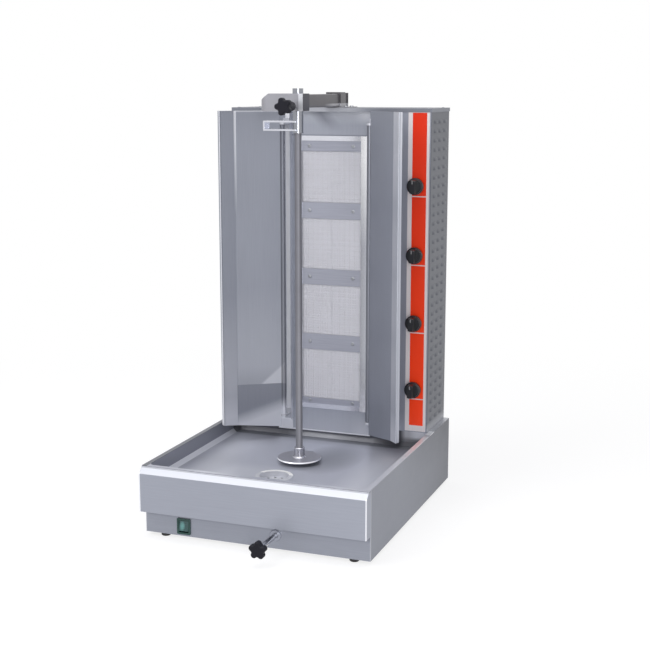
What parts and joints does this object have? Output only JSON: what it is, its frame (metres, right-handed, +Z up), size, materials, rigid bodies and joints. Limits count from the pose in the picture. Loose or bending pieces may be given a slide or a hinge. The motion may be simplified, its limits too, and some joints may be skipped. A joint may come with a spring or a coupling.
{
  "type": "vertical rotisserie",
  "caption": "Gas vertical rotisserie: drip-tray base, upright cabinet of ceramic burners with swinging side wings, motor-driven spit on a sliding carriage, held at its top by an arm.",
  "frame": {"origin": "on the counter, under the spit's axis with the spit drawn fully forward", "axes": "+Z up along the spit, +Y to the back, +X to the control panel"},
  "size_m": [0.54, 0.7436, 1.003],
  "materials": {
    "stainless": "brushed",
    "bright_steel": "bright polished",
    "spit_steel": "turned",
    "arm_steel": "satin, warm grey",
    "plain_steel": "mill finish",
    "bar_steel": "heat dulled",
    "mesh_wire": "woven wire",
    "ceramic": "matt, finely pierced",
    "orange_plate": "gloss",
    "black_plastic": "satin",
    "green_lens": "gloss, tinted",
    "foot_rubber": "matt",
    "motor_paint": "satin",
    "brass": "machined"
  },
  "bodies": {
    "cabinet": {"arm_guide": "bright_steel", "base_plate": "plain_steel", "base_shell": "stainless", "burner_bars": "bar_steel", "burner_frame": "bright_steel", "burner_housing_1": "plain_steel", "burner_housing_2": "plain_steel", "burner_housing_3": "plain_steel", "burner_housing_4": "plain_steel", "burner_surround": "stainless", "cabinet_back": "stainless", "cabinet_left_side": "stainless", "cabinet_right_side": "stainless", "cabinet_top": "stainless", "cable_gland": "black_plastic", "ceramic_plaques": "ceramic", "control_panel": "stainless", "control_plates": "orange_plate", "drain_strainer": "bright_steel", "drip_tray": "stainless", "feed_pipes": "brass", "feet": "foot_rubber", "front_apron": "stainless", "gas_inlet": "brass", "gas_manifold": "plain_steel", "gas_valves": "brass", "grease_cup": "plain_steel", "hinge_lugs": "bright_steel", "left_front_panel": "stainless", "mesh_guards": "mesh_wire", "plinth_panel": "stainless", "rod_bush": "brass", "slide_rails": "spit_steel", "switch_bezel": "black_plastic"},
    "carriage": {"carriage_plate": "plain_steel", "gear_motor": "motor_paint", "slot_shutter": "plain_steel", "adjust_rod": "spit_steel", "adjust_knob": "black_plastic"},
    "spit": {"spit_shaft": "spit_steel", "spit_disc": "bright_steel", "drive_socket": "spit_steel"},
    "arm": {"top_arm": "arm_steel", "holder_block": "bright_steel"},
    "holder": {"holder_tube": "bright_steel", "top_bush": "brass", "lift_loop": "bright_steel"},
    "clamp": {"clamp_screw": "spit_steel", "clamp_knob": "black_plastic"},
    "left_wing": {"left_wing": "stainless"},
    "right_wing": {"right_wing": "stainless"},
    "rocker": {"switch_rocker": "green_lens"},
    "spindle_1": {"valve_spindle_1": "spit_steel"},
    "knob_1": {"gas_knob_1": "black_plastic"},
    "spindle_2": {"valve_spindle_2": "spit_steel"},
    "knob_2": {"gas_knob_2": "black_plastic"},
    "spindle_3": {"valve_spindle_3": "spit_steel"},
    "knob_3": {"gas_knob_3": "black_plastic"},
    "spindle_4": {"valve_spindle_4": "spit_steel"},
    "knob_4": {"gas_knob_4": "black_plastic"}
  },
  "joints": [
    {"name": "carriage_slide", "type": "slide", "parent": "cabinet", "child": "carriage", "axis": [0, 1, 0], "range_m": [0, 0.06]},
    {"name": "spit_spin", "type": "hinge", "parent": "carriage", "child": "spit", "pos_m": [0, 0, 0.135], "axis": [0, 0, 1], "continuous": true},
    {"name": "arm_slide", "type": "slide", "parent": "cabinet", "child": "arm", "axis": [0, 1, 0], "range_m": [0, 0.06]},
    {"name": "holder_lift", "type": "slide", "parent": "arm", "child": "holder", "axis": [0, 0, 1], "range_m": [0, 0.02]},
    {"name": "clamp_turn", "type": "hinge", "parent": "arm", "child": "clamp", "pos_m": [0, -0.086, 0.9635], "axis": [0, -1, 0], "range_deg": [0, 180]},
    {"name": "left_wing_swing", "type": "hinge", "parent": "cabinet", "child": "left_wing", "pos_m": [-0.112, 0.1765, 0.55], "axis": [0, 0, -1], "range_deg": [-25, 25]},
    {"name": "right_wing_swing", "type": "hinge", "parent": "cabinet", "child": "right_wing", "pos_m": [0.112, 0.1765, 0.55], "axis": [0, 0, 1], "range_deg": [-25, 25]},
    {"name": "switch_rock", "type": "hinge", "parent": "cabinet", "child": "rocker", "pos_m": [-0.174, -0.261, 0.032], "axis": [1, 0, 0], "range_deg": [0, 20]},
    {"name": "valve_push_1", "type": "slide", "parent": "cabinet", "child": "spindle_1", "axis": [0, 1, 0], "range_m": [0, 0.004], "stiffness_N_per_m": 1500, "springref_m": -0.002},
    {"name": "knob_turn_1", "type": "hinge", "parent": "spindle_1", "child": "knob_1", "pos_m": [0.222, 0.18, 0.2775], "axis": [0, -1, 0], "range_deg": [0, 180]},
    {"name": "valve_push_2", "type": "slide", "parent": "cabinet", "child": "spindle_2", "axis": [0, 1, 0], "range_m": [0, 0.004], "stiffness_N_per_m": 1500, "springref_m": -0.002},
    {"name": "knob_turn_2", "type": "hinge", "parent": "spindle_2", "child": "knob_2", "pos_m": [0.222, 0.18, 0.443], "axis": [0, -1, 0], "range_deg": [0, 180]},
    {"name": "valve_push_3", "type": "slide", "parent": "cabinet", "child": "spindle_3", "axis": [0, 1, 0], "range_m": [0, 0.004], "stiffness_N_per_m": 1500, "springref_m": -0.002},
    {"name": "knob_turn_3", "type": "hinge", "parent": "spindle_3", "child": "knob_3", "pos_m": [0.222, 0.18, 0.6085], "axis": [0, -1, 0], "range_deg": [0, 180]},
    {"name": "valve_push_4", "type": "slide", "parent": "cabinet", "child": "spindle_4", "axis": [0, 1, 0], "range_m": [0, 0.004], "stiffness_N_per_m": 1500, "springref_m": -0.002},
    {"name": "knob_turn_4", "type": "hinge", "parent": "spindle_4", "child": "knob_4", "pos_m": [0.222, 0.18, 0.774], "axis": [0, -1, 0], "range_deg": [0, 180]}
  ],
  "couplings": [
    {"joint": "arm_slide", "follows": "carriage_slide", "ratio": 1}
  ]
}
